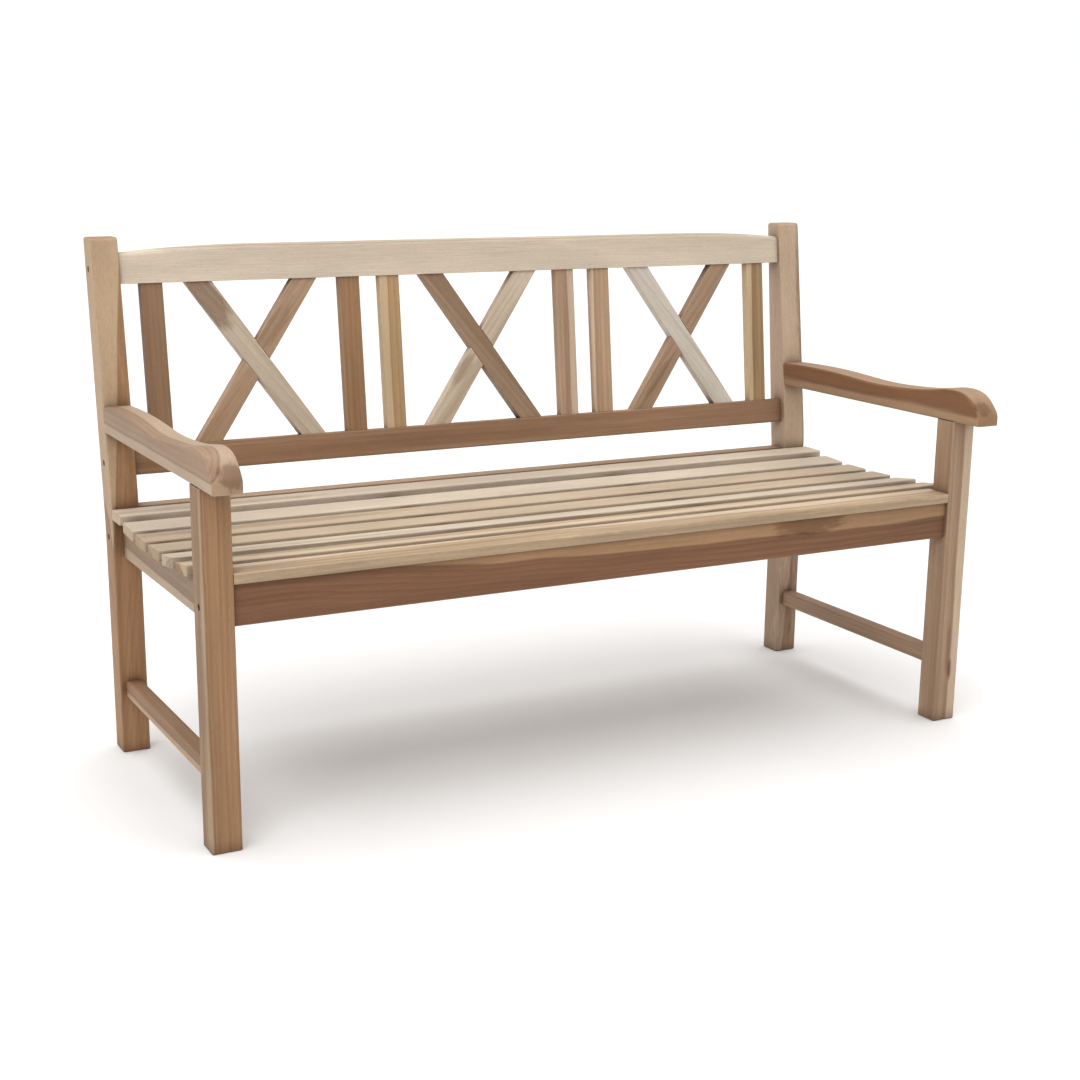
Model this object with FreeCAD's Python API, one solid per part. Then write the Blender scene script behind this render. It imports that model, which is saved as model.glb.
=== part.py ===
import FreeCAD, Part
import math
import os

# Garden bench, knock-down construction: two glued side frames (front leg, rear post, arm,
# side rail, stretcher) are joined by four long rails that are held with bolts and barrel
# nuts.  Seven slats lie on the scooped side rails and on two seat bearers.  The back is a
# raked frame with six upright slats and three half-lapped crosses.
#
# Frame: X along the bench, +Y to the back, +Z up, millimetres.  The origin is on the floor
# under the middle of the bench.  "Left" is the -X end.

V = FreeCAD.Vector
X_AXIS = V(1, 0, 0)
Y_AXIS = V(0, 1, 0)
Z_AXIS = V(0, 0, 1)

# ---- overall sizes --------------------------------------------------------------------
BENCH_W = 1500.0        # over the outer faces of the two side frames
BENCH_H = 922.0         # floor to the tops of the rear posts
FOOT_D = 571.0          # front of the front legs to the back of the rear posts, at the floor

# ---- legs, posts and arms -------------------------------------------------------------
LEG_W = 50.0            # along X: legs, posts and arms
LEG_D = 48.0            # along Y: front legs, and the rear posts below the seat
EASE = 3.0              # rounding on the long edges of legs, rails and slats
FOOT_CHAMFER = 2.0
RAKE = 6.43             # degrees, back frame leaning backwards
RAKE_Z = 440.0          # height at which the middle line of the post starts to lean
FRONT_BEND = 35.0       # the front face bends this far above RAKE_Z
BACK_BEND = 25.0        # the back face bends this far below RAKE_Z
BEND_R = 400.0          # sawn curve at both bends
POST_TOP_D = 41.0       # the post tapers to this depth at its top
POST_TOP_R = 7.0
ARM_Z = 587.5           # underside of the arms, top shoulder of the front legs
ARM_NOSE = 62.0         # arm in front of the front leg
ARM_BACK_H = 46.0       # arm thickness at the post
ARM_HUMP_H = 49.0
ARM_DIP_H = 42.5
ARM_CREST_H = 60.0      # arm thickness over the front leg
ARM_FLAT_H = 14.0       # upright flat under the rounded nose
ARM_EASE = 4.0

# ---- seat -----------------------------------------------------------------------------
SEAT_FRONT_Z = 451.5    # top of the front slat
# each slat top at its front and back edge, above the front slat's top: a scoop, then the
# level back slat, which stands a step higher
SLAT_RISES = ((0.0, 0.0), (1.5, -6.5), (-3.0, -10.5), (-9.0, -11.0), (-10.0, -10.0), (-8.5, -5.0),
              (2.5, 3.5))
SLAT_T = 18.0
SLAT_GAP = 18.6
BACK_SLAT_SHARE = 0.9   # the rearmost slat is this much of a full one
FRONT_MARGIN = 1.0      # front slat behind the face of the front legs
POST_MARGIN = 4.0       # rear slat in front of the posts
RAIL_Z = 366.0          # underside of all four seat rails
RAIL_T = 28.0
REAR_RAIL_RISE = 3.0    # top of the rear rail above the front slat's top
APRON_SET = 8.0         # apron behind the leg face; rear rail in front of the post back
SIDE_SET = 20.0         # side rail inside the outer face of the legs
BEARER_X = 240.0        # middle of each seat bearer
BEARER_W = 28.0
BEARER_RISE = 8.0       # bearer underside above the rail underside

# ---- back frame, measured along the rake from RAKE_Z ------------------------------------
BACK_T = 27.0
LOWER_RAIL_S = 67.5     # underside of the lower back rail
LOWER_RAIL_H = 49.0
TOP_DROP = 16.5         # post top above the crown of the top rail
TOP_RAIL_H = 65.5       # at the crown
CROWN = 11.0            # the top rail is this much lower at its ends
CROWN_FLAT = 0.655      # share of the top rail that is level
TOP_EASE = 10.0
INFILL_T = 20.0
INFILL_W = 40.0
# places across the back as a share of half the clear width between the posts
UPRIGHTS = (-0.9185, -0.384, -0.269, 0.269, 0.384, 0.9185)
CROSSES = (-0.653, 0.0, 0.653)
CROSS_HALF = 0.143

# ---- stretchers -------------------------------------------------------------------------
STRETCHER_Z = 106.0
STRETCHER_H = 30.0
STRETCHER_W = 28.0

# ---- joints -----------------------------------------------------------------------------
FIT = 0.3               # room around every tenon
END_ROOM = 1.0          # room at the bottom of every mortise
FRAME_TENON = 22.0      # side rails and stretchers into legs and posts
RAIL_TENON = 10.0       # long rails into legs and posts
TENON_T = 12.0
SIDE_TENON_T = 10.0
SIDE_TENON_H = 17.0
SIDE_TENON_EDGE = 6.0   # shoulder above and below the twin tenons
SIDE_TENON_SET = 3.0    # twin tenons inside the outer face of the side rail
ARM_TENON = 25.0        # leg tenon up into the arm
ARM_POST_TENON = 18.0
INFILL_TENON = 10.0
LAP_FIT = 0.15

# ---- fasteners ----------------------------------------------------------------------------
BOLT_R = 3.0
BOLT_HOLE_R = 3.3
BOLT_HEAD_R = 5.0
BOLT_HEAD_H = 6.0
BOLT_SOCKET_R = 2.5
RECESS_R = 6.0
RECESS_D = 10.0
BOLT_REACH = 35.0       # bolt end inside the rail, from the shoulder
NUT_R = 5.0
NUT_L = 18.0
NUT_BACK = 26.0         # nut axis inside the rail, from the shoulder
NUT_FIT = 0.15
SCREW_R = 2.0
SCREW_FIT = 0.3
SCREW_HEAD_R = 4.0
SCREW_HEAD_H = 3.0
SCREW_WEB = 18.0        # wood between the screw head and the slat
SCREW_BITE = 14.0       # screw inside the slat
BORE_R = 4.8
APRON_SCREWS = (-0.85, -0.28, 0.28, 0.85)   # share of half the clear width

# ---- sizes that follow --------------------------------------------------------------------
OUTER = BENCH_W / 2
INNER = OUTER - LEG_W
MID = OUTER - LEG_W / 2
LEAN = math.tan(math.radians(RAKE))
POST_MID = FOOT_D - LEG_D / 2                       # from the front of the front legs
TOP_MID = POST_MID + (BENCH_H - RAKE_Z) * LEAN
DEPTH = ARM_NOSE + TOP_MID + POST_TOP_D / 2
FRONT = -DEPTH / 2 + ARM_NOSE                       # front face of the front legs
POST_FRONT = FRONT + FOOT_D - LEG_D
POST_BACK = FRONT + FOOT_D
PIVOT = V(0, FRONT + POST_MID, RAKE_Z)
APRON_Y = FRONT + APRON_SET
REAR_RAIL_Y = POST_BACK - APRON_SET - RAIL_T
RAIL_TOP = SEAT_FRONT_Z - SLAT_T
REAR_RAIL_TOP = SEAT_FRONT_Z + REAR_RAIL_RISE
BOLT_Z = (RAIL_Z + RAIL_TOP) / 2
TOP_RAIL_TOP = (BENCH_H - TOP_DROP - RAKE_Z) / math.cos(math.radians(RAKE))
TOP_RAIL_S = TOP_RAIL_TOP - TOP_RAIL_H
TOP_END_H = TOP_RAIL_H - CROWN
LOWER_RAIL_TOP = LOWER_RAIL_S + LOWER_RAIL_H


# ---- helpers ------------------------------------------------------------------------------
def box(x0, x1, y0, y1, z0, z1):
    return Part.makeBox(x1 - x0, y1 - y0, z1 - z0, V(x0, y0, z0))


def grown(x0, x1, y0, y1, z0, z1, dx, dy, dz):
    """A mortise: the tenon's box made larger by the given room on both sides."""
    return box(x0 - dx, x1 + dx, y0 - dy, y1 + dy, z0 - dz, z1 + dz)


def rod(radius, start, direction, length):
    return Part.makeCylinder(radius, length, start, direction)


def edges_along(shape, axis):
    found = []
    for edge in shape.Edges:
        run = edge.Vertexes[-1].Point - edge.Vertexes[0].Point
        if run.Length > 1e-6 and abs(abs(run.normalize().dot(axis)) - 1) < 1e-6:
            found.append(edge)
    return found


def eased(shape, axis, radius=EASE):
    return shape.makeFillet(radius, edges_along(shape, axis))


def unit(a, b):
    return (b - a).normalize()


def rounded_wire(corners, radii):
    """Closed wire through the corners, each rounded with its own radius (0 = sharp)."""
    count = len(corners)
    starts = []
    arcs = []
    ends = []
    for i in range(count):
        here = corners[i]
        to_last = unit(here, corners[i - 1])
        to_next = unit(here, corners[(i + 1) % count])
        if radii[i] <= 0:
            starts.append(here)
            arcs.append(None)
            ends.append(here)
            continue
        half = to_last.getAngle(to_next) / 2
        cut = radii[i] / math.tan(half)
        middle = here + unit(V(), to_last + to_next) * (radii[i] / math.sin(half) - radii[i])
        starts.append(here + to_last * cut)
        ends.append(here + to_next * cut)
        arcs.append(Part.Arc(starts[i], middle, ends[i]).toShape())
    edges = []
    for i in range(count):
        if arcs[i] is not None:
            edges.append(arcs[i])
        edges.append(Part.makeLine(ends[i], starts[(i + 1) % count]))
    return Part.Wire(edges)


def slab(wire, run):
    return Part.Face(wire).extrude(run)


def side_outline(points):
    return [V(0, y, z) for y, z in points]


def raked(shape):
    """From the back frame's own upright position into the leaning back plane."""
    placed = shape.copy()
    placed.rotate(V(), X_AXIS, -RAKE)
    placed.translate(PIVOT)
    return placed


def mirrored(shape):
    return shape.mirror(V(), X_AXIS)


def joined(parts):
    whole = parts[0]
    for part in parts[1:]:
        whole = whole.fuse(part)
    return whole.removeSplitter()


def less(shape, cutters):
    return shape.cut(Part.makeCompound(cutters))


# ---- the seat line ------------------------------------------------------------------------
SEAT_DEPTH = (POST_FRONT - POST_MARGIN) - (FRONT + FRONT_MARGIN)
FULL_SLATS = len(SLAT_RISES) - 1
SLAT_W = (SEAT_DEPTH - FULL_SLATS * SLAT_GAP) / (FULL_SLATS + BACK_SLAT_SHARE)

# front and back edge of each slat top, (y, z), slat 1 at the front
SLAT_LINES = []
for number, (front_rise, back_rise) in enumerate(SLAT_RISES):
    y_front = FRONT + FRONT_MARGIN + number * (SLAT_W + SLAT_GAP)
    y_back = y_front + SLAT_W * (BACK_SLAT_SHARE if number == FULL_SLATS else 1.0)
    SLAT_LINES.append(((y_front, SEAT_FRONT_Z + front_rise), (y_back, SEAT_FRONT_Z + back_rise)))


def slat_tilt(line):
    return math.atan2(line[1][1] - line[0][1], line[1][0] - line[0][0])


def under(line, y):
    """Height of a slat's underside at y."""
    tilt = slat_tilt(line)
    return line[0][1] - SLAT_T / math.cos(tilt) + (y - line[0][0]) * math.tan(tilt)


def seat_support(y0, y1, z0, x0, x1):
    """A rail with a flat for every slat along its top."""
    points = [(y0, z0), (y0, RAIL_TOP), (SLAT_LINES[0][1][0] + 2.0, RAIL_TOP)]
    for line in SLAT_LINES[1:]:
        points.append((line[0][0] - 2.0, under(line, line[0][0] - 2.0)))
        points.append((line[1][0] + 2.0, under(line, line[1][0] + 2.0)))
    points[-1] = (y1, under(SLAT_LINES[-1], y1))
    points.append((y1, z0))
    corners = side_outline(points)
    rail = slab(Part.makePolygon(corners + corners[:1]), V(x1 - x0, 0, 0))
    rail.translate(V(x0, 0, 0))
    return rail


# ---- tenon places, written once and used by both halves of every joint ------------------------
SIDE_RAIL_OUT = OUTER - SIDE_SET
SIDE_TENON_X = (SIDE_RAIL_OUT - SIDE_TENON_SET - SIDE_TENON_T, SIDE_RAIL_OUT - SIDE_TENON_SET)
SIDE_TENON_ZS = (
    (RAIL_Z + SIDE_TENON_EDGE, RAIL_Z + SIDE_TENON_EDGE + SIDE_TENON_H),
    (RAIL_TOP - SIDE_TENON_EDGE - SIDE_TENON_H, RAIL_TOP - SIDE_TENON_EDGE),
)
LONG_TENON_Z = (RAIL_Z + 8.0, RAIL_TOP - 8.0)
STRETCHER_TENON = (MID - TENON_T / 2, MID + TENON_T / 2, STRETCHER_Z + 5.0,
                   STRETCHER_Z + STRETCHER_H - 5.0)
LEG_TENON = (MID - 12.0, MID + 12.0, FRONT + 12.0, FRONT + LEG_D - 12.0)
ARM_POST_X = (MID - 10.0, MID + 10.0)
ARM_POST_Z = (ARM_Z + 10.0, ARM_Z + ARM_BACK_H - 12.0)
FRONT_FACE_Z = RAKE_Z + FRONT_BEND


def post_front_at(z):
    """The leaning front face of the rear post."""
    top_y = FRONT + TOP_MID - POST_TOP_D / 2
    return POST_FRONT + (z - FRONT_FACE_Z) * (top_y - POST_FRONT) / (BENCH_H - FRONT_FACE_Z)


def stretcher_tenons():
    x0, x1, z0, z1 = STRETCHER_TENON
    front = (x0, x1, FRONT + LEG_D - FRAME_TENON, FRONT + LEG_D, z0, z1)
    back = (x0, x1, POST_FRONT, POST_FRONT + FRAME_TENON, z0, z1)
    return front, back


def side_rail_tenons():
    x0, x1 = SIDE_TENON_X
    front = [(x0, x1, FRONT + LEG_D - FRAME_TENON, FRONT + LEG_D, z0, z1) for z0, z1 in SIDE_TENON_ZS]
    back = [(x0, x1, POST_FRONT, POST_FRONT + FRAME_TENON, z0, z1) for z0, z1 in SIDE_TENON_ZS]
    return front, back


def long_tenon(y_mid):
    return (INNER, INNER + RAIL_TENON, y_mid - TENON_T / 2, y_mid + TENON_T / 2) + LONG_TENON_Z


def back_tenon(s0, s1):
    return (INNER, INNER + RAIL_TENON, -TENON_T / 2, TENON_T / 2, s0, s1)


APRON_MID = APRON_Y + RAIL_T / 2
REAR_RAIL_MID = REAR_RAIL_Y + RAIL_T / 2
LOWER_TENON = back_tenon(LOWER_RAIL_S + 6.0, LOWER_RAIL_TOP - 6.0)
TOP_TENON = back_tenon(TOP_RAIL_S + 8.0, TOP_RAIL_S + TOP_END_H - 10.0)
LOWER_BOLT_S = LOWER_RAIL_S + LOWER_RAIL_H / 2
TOP_BOLT_S = TOP_RAIL_S + TOP_END_H / 2


def y_mortise(tenon, toward_front):
    """Mortise for a tenon that runs along Y, with its end room on the closed side."""
    x0, x1, y0, y1, z0, z1 = tenon
    if toward_front:
        return grown(x0, x1, y0 - END_ROOM, y1, z0, z1, FIT, 0, FIT)
    return grown(x0, x1, y0, y1 + END_ROOM, z0, z1, FIT, 0, FIT)


def x_mortise(tenon):
    x0, x1, y0, y1, z0, z1 = tenon
    return grown(x0, x1 + END_ROOM, y0, y1, z0, z1, 0, FIT, FIT)


# ---- bolts and barrel nuts --------------------------------------------------------------------
def bolt_path(y, z):
    """Recess and hole in the side frame, seen from the outer face."""
    recess = rod(RECESS_R, V(OUTER - RECESS_D, y, z), X_AXIS, RECESS_D + 1)
    hole = rod(BOLT_HOLE_R, V(INNER - 1, y, z), X_AXIS, LEG_W)
    return [recess, hole]


def rail_bores(y, z, back_y):
    """Bolt hole from the rail's end, and the nut's bore from the rail's back face."""
    bolt = rod(BOLT_HOLE_R, V(INNER - BOLT_REACH - 3, y, z), X_AXIS, BOLT_REACH + RAIL_TENON + 4)
    start = V(INNER - NUT_BACK, y - NUT_L / 2, z)
    nut = rod(NUT_R + NUT_FIT, start, Y_AXIS, back_y - start.y + 1)
    return [bolt, nut]


def bolt(y, z):
    seat = OUTER - RECESS_D
    end = INNER - BOLT_REACH
    shank = rod(BOLT_R, V(end, y, z), X_AXIS, seat - end + 1)
    head = rod(BOLT_HEAD_R, V(seat, y, z), X_AXIS, BOLT_HEAD_H)
    head = head.makeChamfer(0.6, [head.Edges[0]])
    socket = rod(BOLT_SOCKET_R, V(seat + BOLT_HEAD_H - 3.5, y, z), X_AXIS, 4)
    return joined([head, shank]).cut(socket)


def barrel_nut(y, z):
    body = rod(NUT_R, V(INNER - NUT_BACK, y - NUT_L / 2, z), Y_AXIS, NUT_L)
    return body.cut(rod(BOLT_R + 0.05, V(INNER - NUT_BACK - NUT_R - 1, y, z), X_AXIS, 2 * NUT_R + 2))


# ---- side frame pieces (right-hand, +X) -------------------------------------------------------
def front_leg():
    leg = eased(box(INNER, OUTER, FRONT, FRONT + LEG_D, 0, ARM_Z), Z_AXIS)
    foot = [e for e in leg.Edges if e.BoundBox.ZMax < 1e-6]
    leg = leg.makeChamfer(FOOT_CHAMFER, foot)
    leg = leg.fuse(box(*LEG_TENON, ARM_Z - 1, ARM_Z + ARM_TENON)).removeSplitter()
    cuts = [y_mortise(t, True) for t in side_rail_tenons()[0]]
    cuts.append(y_mortise(stretcher_tenons()[0], True))
    cuts.append(x_mortise(long_tenon(APRON_MID)))
    cuts += bolt_path(APRON_MID, BOLT_Z)
    return less(leg, cuts)


def rear_post():
    top_mid = FRONT + TOP_MID
    outline = side_outline([
        (POST_FRONT, 0), (POST_FRONT, FRONT_FACE_Z), (top_mid - POST_TOP_D / 2, BENCH_H),
        (top_mid + POST_TOP_D / 2, BENCH_H), (POST_BACK, RAKE_Z - BACK_BEND), (POST_BACK, 0)])
    wire = rounded_wire(outline, [0, BEND_R, POST_TOP_R, POST_TOP_R, BEND_R, 0])
    post = slab(wire, V(LEG_W, 0, 0))
    post.translate(V(INNER, 0, 0))
    sides = []
    for edge in post.Edges:
        on_side = edge.BoundBox.XLength < 1e-6
        if on_side and edge.BoundBox.ZLength > 1e-6:
            sides.append(edge)
        elif on_side and edge.BoundBox.ZMin > 1:
            sides.append(edge)
    post = post.makeFillet(EASE, sides)
    foot = [e for e in post.Edges if e.BoundBox.ZMax < 1e-6]
    post = post.makeChamfer(FOOT_CHAMFER, foot)
    cuts = [y_mortise(t, False) for t in side_rail_tenons()[1]]
    cuts.append(y_mortise(stretcher_tenons()[1], False))
    cuts.append(x_mortise(long_tenon(REAR_RAIL_MID)))
    cuts += bolt_path(REAR_RAIL_MID, BOLT_Z)
    cuts.append(arm_end_box(FIT, END_ROOM))
    cuts.append(raked(x_mortise(LOWER_TENON)))
    cuts.append(raked(x_mortise(TOP_TENON)))
    for s in (LOWER_BOLT_S, TOP_BOLT_S):
        cuts += [raked(c) for c in bolt_path(0, s)]
    return less(post, cuts)


def arm_end_box(room, end_room):
    """Tenon of the arm in the rear post; with room it is the mortise."""
    x0, x1 = ARM_POST_X
    z0, z1 = ARM_POST_Z
    reach = post_front_at(z1) + ARM_POST_TENON
    return box(x0 - room, x1 + room, post_front_at(z0) - 4, reach + end_room, z0 - room, z1 + room)


def arm():
    back_top = ARM_Z + ARM_BACK_H
    length = post_front_at(back_top) - FRONT
    tip = FRONT - ARM_NOSE
    top = Part.BSplineCurve()
    points = side_outline([
        (post_front_at(back_top), back_top),
        (FRONT + length * 0.80, ARM_Z + ARM_HUMP_H),
        (FRONT + length * 0.62, ARM_Z + (ARM_HUMP_H + ARM_DIP_H) / 2 + 1.0),
        (FRONT + length * 0.44, ARM_Z + ARM_DIP_H),
        (FRONT + length * 0.28, ARM_Z + ARM_DIP_H + 2.5),
        (FRONT + length * 0.13, ARM_Z + (ARM_CREST_H + ARM_DIP_H) / 2 + 1.5),
        (FRONT + 5.0, ARM_Z + ARM_CREST_H),
        (FRONT - ARM_NOSE * 0.52, ARM_Z + ARM_CREST_H * 0.84),
        (FRONT - ARM_NOSE * 0.88, ARM_Z + ARM_CREST_H * 0.50),
        (tip, ARM_Z + ARM_FLAT_H)])
    top.interpolate(Points=points, InitialTangent=V(0, -1, 0.05), FinalTangent=V(0, 0, -1))
    low_back = V(0, post_front_at(ARM_Z), ARM_Z)
    low_tip = V(0, tip, ARM_Z)
    wire = Part.Wire([top.toShape(), Part.makeLine(points[-1], low_tip),
                      Part.makeLine(low_tip, low_back), Part.makeLine(low_back, points[0])])
    body = slab(wire, V(LEG_W, 0, 0))
    body.translate(V(INNER, 0, 0))
    rounded = []
    for edge in body.Edges:
        flat = edge.BoundBox.XLength < 1e-6
        at_post = edge.BoundBox.YMin > post_front_at(ARM_Z) - 1
        if flat and not at_post:
            rounded.append(edge)
    body = body.makeFillet(ARM_EASE, rounded)
    body = body.fuse(arm_end_box(0, 0)).removeSplitter()
    x0, x1, y0, y1 = LEG_TENON
    socket = grown(x0, x1, y0, y1, ARM_Z - 1, ARM_Z + ARM_TENON + END_ROOM, FIT, FIT, 0)
    return body.cut(socket)


def side_rail():
    rail = seat_support(FRONT + LEG_D, POST_FRONT, RAIL_Z, SIDE_RAIL_OUT - RAIL_T, SIDE_RAIL_OUT)
    front, back = side_rail_tenons()
    rail = joined([rail] + [box(*t) for t in front + back])
    return less(rail, [screw_bore(MID_RAIL_X, line) for line in SLAT_LINES[1:]])


def stretcher():
    bar = eased(box(MID - STRETCHER_W / 2, MID + STRETCHER_W / 2, FRONT + LEG_D, POST_FRONT,
                    STRETCHER_Z, STRETCHER_Z + STRETCHER_H), Y_AXIS)
    return joined([bar] + [box(*t) for t in stretcher_tenons()])


# ---- seat ---------------------------------------------------------------------------------------
MID_RAIL_X = SIDE_RAIL_OUT - RAIL_T / 2


def screw_y(line):
    """Screws go through the middle of a slat; the front one is screwed behind the apron."""
    if line is SLAT_LINES[0]:
        return (APRON_Y + RAIL_T + line[1][0]) / 2
    return (line[0][0] + line[1][0]) / 2


def screw_bore(x, line, y=None):
    """Counterbore from below and clearance hole up to the slat."""
    if y is None:
        y = screw_y(line)
    seat = under(line, y) - SCREW_WEB
    counterbore = rod(BORE_R, V(x, y, RAIL_Z - 1), Z_AXIS, seat - RAIL_Z + 1)
    hole = rod(SCREW_R + SCREW_FIT, V(x, y, seat - 1), Z_AXIS, SCREW_WEB + SLAT_T / 2)
    return counterbore.fuse(hole)


def screw(x, line, y=None):
    if y is None:
        y = screw_y(line)
    seat = under(line, y) - SCREW_WEB
    head = rod(SCREW_HEAD_R, V(x, y, seat - SCREW_HEAD_H), Z_AXIS, SCREW_HEAD_H)
    head = head.cut(rod(1.4, V(x, y, seat - SCREW_HEAD_H - 1), Z_AXIS, 2.6))
    shank = rod(SCREW_R, V(x, y, seat - 1), Z_AXIS, SCREW_WEB + SCREW_BITE + 1)
    return joined([head, shank])


def screw_pilot(x, line, y=None):
    if y is None:
        y = screw_y(line)
    start = under(line, y) - 2
    return rod(SCREW_R + 0.05, V(x, y, start), Z_AXIS, SCREW_BITE + 2.5)


def screw_places():
    """(x, slat line, y) of every slat screw; y None means the middle of the slat."""
    places = []
    for line in SLAT_LINES:
        for x in (-BEARER_X, BEARER_X):
            places.append((x, line, None))
    for line in SLAT_LINES[1:]:
        for x in (-MID_RAIL_X, MID_RAIL_X):
            places.append((x, line, None))
    for share in APRON_SCREWS:
        places.append((share * INNER, SLAT_LINES[0], APRON_MID))
    return places


def seat_slat(line):
    width = math.hypot(line[1][0] - line[0][0], line[1][1] - line[0][1])
    half = INNER - 0.5 if line is SLAT_LINES[0] else OUTER
    slat = box(-half, half, 0, width, -SLAT_T, 0)
    slat = eased(slat, X_AXIS)
    slat.rotate(V(), X_AXIS, math.degrees(slat_tilt(line)))
    slat.translate(V(0, line[0][0], line[0][1]))
    return less(slat, [screw_pilot(x, l, y) for x, l, y in screw_places() if l is line])


def bearer():
    y0 = APRON_Y + RAIL_T
    z0 = RAIL_Z + BEARER_RISE
    body = seat_support(y0, REAR_RAIL_Y, z0, BEARER_X - BEARER_W / 2, BEARER_X + BEARER_W / 2)
    body = joined([body] + [box(*t) for t in bearer_tenons()])
    return less(body, [screw_bore(BEARER_X, line) for line in SLAT_LINES])


def bearer_tenons():
    x0, x1 = BEARER_X - TENON_T / 2, BEARER_X + TENON_T / 2
    z0, z1 = RAIL_Z + BEARER_RISE + 6.0, RAIL_TOP - 14.0
    y0 = APRON_Y + RAIL_T
    return ((x0, x1, y0 - RAIL_TENON, y0, z0, z1),
            (x0, x1, REAR_RAIL_Y, REAR_RAIL_Y + RAIL_TENON, z0, z1))


def both_ends(cutters):
    return list(cutters) + [mirrored(c) for c in cutters]


def long_rail(y, top):
    mid = y + RAIL_T / 2
    body = eased(box(-INNER, INNER, y, y + RAIL_T, RAIL_Z, top), X_AXIS, 2.0)
    tenon = box(*long_tenon(mid))
    body = joined([body, tenon, mirrored(tenon)])
    return less(body, both_ends(rail_bores(mid, BOLT_Z, y + RAIL_T)))


def apron():
    mortise = y_mortise(bearer_tenons()[0], True)
    body = less(long_rail(APRON_Y, RAIL_TOP), both_ends([mortise]))
    bores = [screw_bore(x, l, y) for x, l, y in screw_places() if y is not None]
    return less(body, bores)


def rear_seat_rail():
    mortise = y_mortise(bearer_tenons()[1], False)
    return less(long_rail(REAR_RAIL_Y, REAR_RAIL_TOP), both_ends([mortise]))


# ---- back frame, built upright and then leaned back ---------------------------------------------
def infill_places():
    """Outline of every back slat in the back plane as (lower x, upper x)."""
    uprights = [(share * INNER, share * INNER) for share in UPRIGHTS]
    falling = [((c + CROSS_HALF) * INNER, (c - CROSS_HALF) * INNER) for c in CROSSES]
    rising = [((c - CROSS_HALF) * INNER, (c + CROSS_HALF) * INNER) for c in CROSSES]
    return uprights, falling, rising


def strip(low_x, high_x, s0, s1, width, y0, y1):
    """A slat between two levels, its middle line aimed from low_x to high_x across the opening."""
    span = TOP_RAIL_S - LOWER_RAIL_TOP
    slope = (high_x - low_x) / span
    half = width / 2 * math.hypot(1.0, slope)
    x_at_s0 = low_x + slope * (s0 - LOWER_RAIL_TOP)
    x_at_s1 = low_x + slope * (s1 - LOWER_RAIL_TOP)
    points = [V(x_at_s0 - half, y0, s0), V(x_at_s0 + half, y0, s0),
              V(x_at_s1 + half, y0, s1), V(x_at_s1 - half, y0, s1)]
    return slab(Part.makePolygon(points + points[:1]), V(0, y1 - y0, 0))


def infill_tenon(low_x, high_x, room=0.0, end_room=0.0):
    """Both stub tenons of a back slat as one strip; with room they are the mortises."""
    half = TENON_T / 2 + room
    return strip(low_x, high_x, LOWER_RAIL_TOP - INFILL_TENON - end_room,
                 TOP_RAIL_S + INFILL_TENON + end_room, INFILL_W - 6.0 + 2 * room, -half, half)


def infill(low_x, high_x):
    body = strip(low_x, high_x, LOWER_RAIL_TOP, TOP_RAIL_S, INFILL_W, -INFILL_T / 2, INFILL_T / 2)
    along = unit(V(low_x, 0, LOWER_RAIL_TOP), V(high_x, 0, TOP_RAIL_S))
    body = eased(body, along, 2.0)
    return joined([body, infill_tenon(low_x, high_x)])


def cross_slat(own, other, front):
    """One slat of a cross, halved where it meets the other one."""
    body = infill(*own)
    y0, y1 = (0.0, INFILL_T) if front else (-INFILL_T, 0.0)
    notch = strip(other[0], other[1], LOWER_RAIL_TOP, TOP_RAIL_S, INFILL_W + 2 * LAP_FIT, y0, y1)
    return body.cut(notch)


def infill_mortises():
    uprights, falling, rising = infill_places()
    return [infill_tenon(lo, hi, FIT, END_ROOM) for lo, hi in uprights + falling + rising]


def lower_back_rail():
    rail = box(-INNER, INNER, -BACK_T / 2, BACK_T / 2, LOWER_RAIL_S, LOWER_RAIL_TOP)
    rail = eased(rail, X_AXIS)
    tenon = box(*LOWER_TENON)
    rail = joined([rail, tenon, mirrored(tenon)])
    rail = less(rail, both_ends(rail_bores(0, LOWER_BOLT_S, BACK_T / 2)))
    return raked(less(rail, infill_mortises()))


def top_rail():
    flat = INNER * CROWN_FLAT
    run = INNER - flat
    radius = (run ** 2 + CROWN ** 2) / (2 * CROWN)
    half_drop = radius - math.sqrt(radius ** 2 - (run / 2) ** 2)
    top = TOP_RAIL_TOP
    y = -BACK_T / 2
    low_left, low_right = V(-INNER, y, TOP_RAIL_S), V(INNER, y, TOP_RAIL_S)
    end_left, end_right = V(-INNER, y, top - CROWN), V(INNER, y, top - CROWN)
    arc_right = Part.Arc(end_right, V(flat + run / 2, y, top - half_drop), V(flat, y, top))
    arc_left = Part.Arc(V(-flat, y, top), V(-flat - run / 2, y, top - half_drop), end_left)
    wire = Part.Wire([Part.makeLine(low_left, low_right), Part.makeLine(low_right, end_right),
                      arc_right.toShape(), Part.makeLine(V(flat, y, top), V(-flat, y, top)),
                      arc_left.toShape(), Part.makeLine(end_left, low_left)])
    rail = slab(wire, V(0, BACK_T, 0))
    crest = []
    lower = []
    for edge in rail.Edges:
        lengthwise = edge.BoundBox.XLength > 1
        if lengthwise and edge.BoundBox.ZMin > top - CROWN - 1:
            crest.append(edge)
        elif lengthwise:
            lower.append(edge)
    rail = rail.makeFillet(TOP_EASE, crest)
    tenon = box(*TOP_TENON)
    rail = joined([rail, tenon, mirrored(tenon)])
    rail = less(rail, both_ends(rail_bores(0, TOP_BOLT_S, BACK_T / 2)))
    return raked(less(rail, infill_mortises()))


# ---- everything together --------------------------------------------------------------------------
def fasteners(maker):
    """The eight bolts or the eight barrel nuts."""
    right = [maker(APRON_MID, BOLT_Z), maker(REAR_RAIL_MID, BOLT_Z),
             raked(maker(0, LOWER_BOLT_S)), raked(maker(0, TOP_BOLT_S))]
    return Part.makeCompound(right + [mirrored(s) for s in right])


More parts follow.
